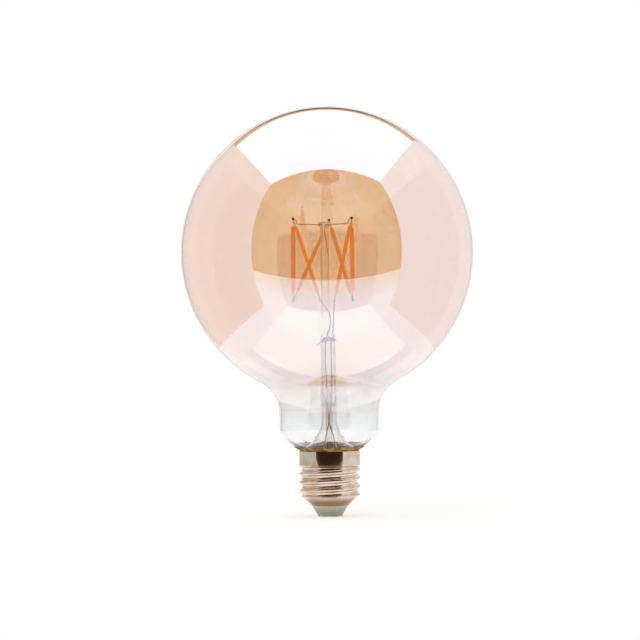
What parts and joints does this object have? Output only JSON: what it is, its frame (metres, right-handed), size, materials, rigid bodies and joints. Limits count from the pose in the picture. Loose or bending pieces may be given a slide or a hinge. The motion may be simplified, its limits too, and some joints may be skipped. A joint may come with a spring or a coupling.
{
  "type": "filament globe bulb",
  "caption": "Upright gold-tinted glass globe bulb with a crown of LED filaments on a glass stem, and a screw cap.",
  "frame": {"origin": "middle of the cap's bottom contact", "axes": "+Z along the bulb's axis from the contact to the top of the glass, -Y to the front"},
  "size_m": [0.1252, 0.1252, 0.1755],
  "materials": {
    "gold_glass": "blown soda-lime glass with a thin gold coating",
    "clear_glass": "clear drawn glass",
    "phosphor": "silicone filled with orange phosphor, matte",
    "nickel_wire": "nickel-plated iron wire, dull",
    "cement": "baked capping cement, rough",
    "nickel_plate": "bright nickel plate on rolled sheet",
    "insulator": "moulded grey-green insulator, satin",
    "contact_metal": "pressed tinned brass",
    "solder": "tin solder, satin",
    "circuit_board": "lacquered glass-fibre board",
    "capacitor_sleeve": "shrunk plastic sleeve",
    "chip_plastic": "moulded epoxy",
    "resistor_coat": "dipped cement coat",
    "resistor_ceramic": "glazed chip",
    "wire_sleeve": "plastic sleeve over copper wire"
  },
  "bodies": {
    "root": {"glass_globe": "gold_glass", "glass_stem": "clear_glass", "exhaust_tube": "clear_glass", "filament_1": "phosphor", "filament_pins_1": "nickel_wire", "filament_2": "phosphor", "filament_pins_2": "nickel_wire", "filament_3": "phosphor", "filament_pins_3": "nickel_wire", "filament_4": "phosphor", "filament_pins_4": "nickel_wire", "filament_5": "phosphor", "filament_pins_5": "nickel_wire", "filament_6": "phosphor", "filament_pins_6": "nickel_wire", "support_wire_1": "nickel_wire", "support_wire_2": "nickel_wire", "support_wire_3": "nickel_wire", "weld_beads": "nickel_wire", "lead_wire_left": "nickel_wire", "lead_wire_right": "nickel_wire", "stem_tie": "nickel_wire", "cement_ring": "cement", "cap_shell": "nickel_plate", "cap_insulator": "insulator", "centre_contact": "contact_metal", "contact_solder": "solder", "driver_board": "circuit_board", "smoothing_capacitor": "capacitor_sleeve", "bridge_rectifier": "chip_plastic", "driver_chip": "chip_plastic", "fusible_resistor": "resistor_coat", "chip_resistors": "resistor_ceramic", "live_wire": "wire_sleeve", "neutral_wire": "wire_sleeve"}
  },
  "joints": []
}
